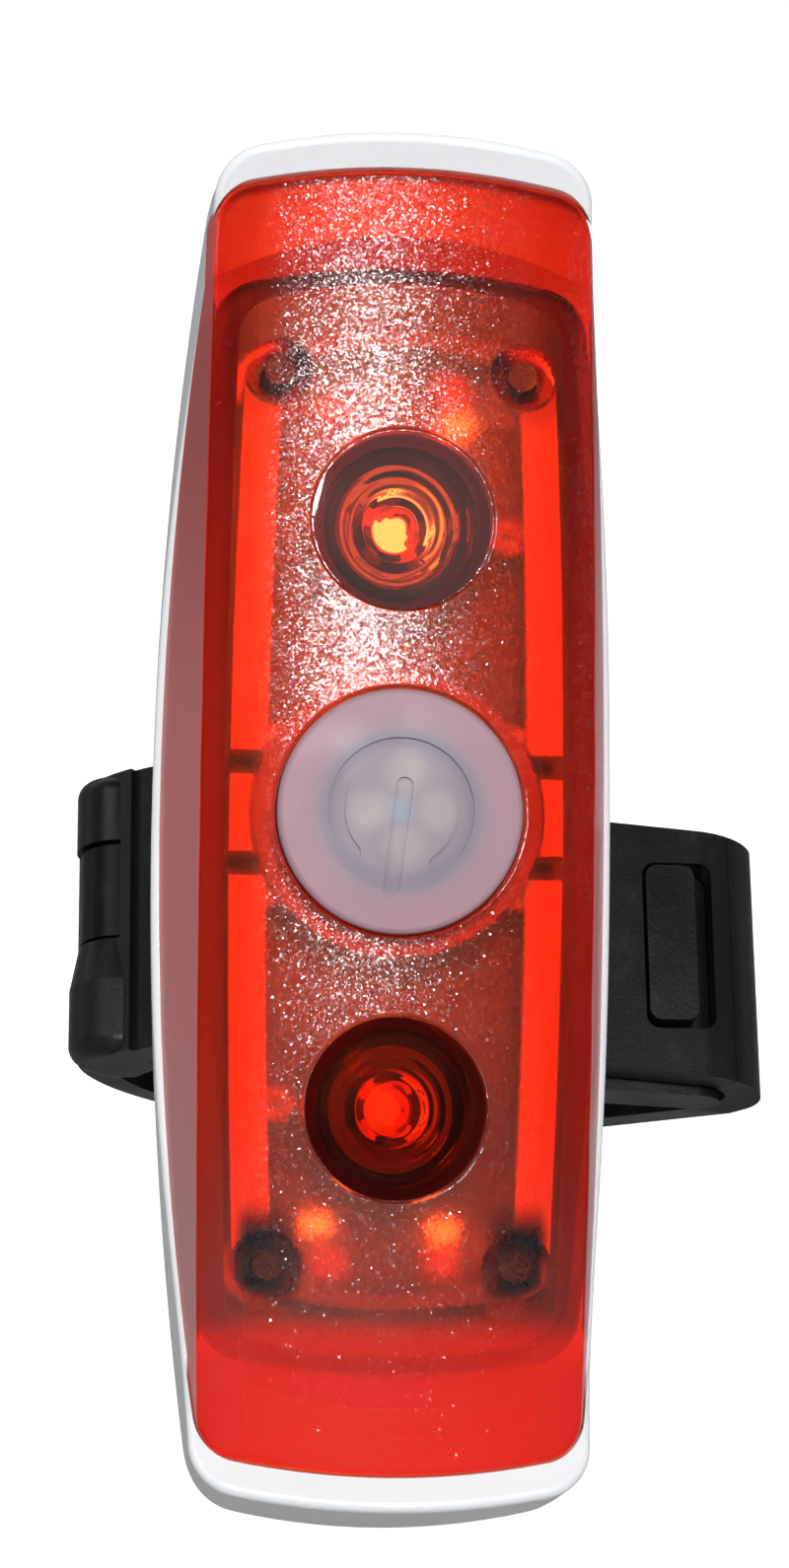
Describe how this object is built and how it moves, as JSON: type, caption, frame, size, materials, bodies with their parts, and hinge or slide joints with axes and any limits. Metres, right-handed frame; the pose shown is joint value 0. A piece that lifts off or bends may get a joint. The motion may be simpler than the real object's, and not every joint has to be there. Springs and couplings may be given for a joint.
{
  "type": "bike light",
  "caption": "Long rear bike light with a translucent red cover, a centre button, a charging port and a stretch strap mount for a seat post.",
  "frame": {"origin": "on the seat post's axis, at half the height of the strap where it wraps the post", "axes": "+X to the light's right seen from the front, +Y back towards the post, +Z along the light's length, up as in the picture; the post's axis leans 15 degrees back from +Z"},
  "size_m": [0.0469, 0.0663, 0.086],
  "materials": {
    "clear_red": "translucent red, fine spark texture, polished windows",
    "white_shell": "glossy white",
    "seal_rubber": "matt black",
    "frame_white": "satin white",
    "board_dark": "dark solder mask",
    "screw_steel": "zinc plated",
    "black_plastic": "black",
    "clear_lens": "clear",
    "lamp_white": "white package",
    "phosphor": "yellow silicone dome",
    "chip_black": "moulded",
    "capacitor_tan": "tan",
    "pouch_silver": "laminated foil",
    "foam_grey": "soft foam",
    "lead_red": "insulated leads",
    "connector_white": "natural nylon",
    "board_green": "green solder mask",
    "shell_steel": "bright steel",
    "silicone_clear": "milky silicone",
    "flap_rubber": "matt black",
    "strap_rubber": "matt black",
    "bracket_black": "satin black",
    "pad_rubber": "matt black"
  },
  "bodies": {
    "mount": {"bracket": "bracket_black", "saddle_pad": "pad_rubber", "strap_band": "strap_rubber", "strap_pin": "shell_steel"},
    "strap_end": {"strap_tab": "strap_rubber"},
    "head": {"front_cover": "clear_red", "rear_housing": "white_shell", "seal_ring": "seal_rubber", "inner_frame": "frame_white", "main_board": "board_dark", "board_screws": "screw_steel", "housing_screws": "screw_steel", "upper_lens_holder": "black_plastic", "lower_lens_holder": "black_plastic", "upper_collimator": "clear_lens", "lower_collimator": "clear_lens", "upper_led": "lamp_white", "lower_led": "lamp_white", "upper_led_dome": "phosphor", "lower_led_dome": "phosphor", "tact_switch": "chip_black", "indicator_leds": "lamp_white", "side_leds": "lamp_white", "capacitors": "capacitor_tan", "resistors": "chip_black", "power_inductor": "chip_black", "controller_chip": "chip_black", "battery_cell": "pouch_silver", "battery_foam": "foam_grey", "cell_pads": "foam_grey", "lead_connector": "connector_white", "battery_leads": "lead_red", "charge_board": "board_green", "charge_chip": "chip_black", "board_header": "black_plastic", "usb_shell": "shell_steel", "usb_tongue": "black_plastic"},
    "flap": {"port_cover": "flap_rubber"},
    "button": {"button_cap": "silicone_clear", "switch_plunger": "black_plastic"}
  },
  "joints": [
    {"name": "strap_unhook", "type": "hinge", "parent": "mount", "child": "strap_end", "pos_m": [0.0258, -0.01375, 0.00203], "axis": [0, 0.2588, 0.9659], "range_deg": [0, 80]},
    {"name": "head_slide", "type": "slide", "parent": "mount", "child": "head", "axis": [0, 0, 1], "range_m": [0, 0.022]},
    {"name": "port_flap", "type": "hinge", "parent": "head", "child": "flap", "pos_m": [0, -0.02735, 0.0291], "axis": [-1, 0, 0], "range_deg": [0, 110]},
    {"name": "button_press", "type": "slide", "parent": "head", "child": "button", "axis": [0, 1, 0], "range_m": [0, 0.0006], "stiffness_N_per_m": 1500}
  ]
}
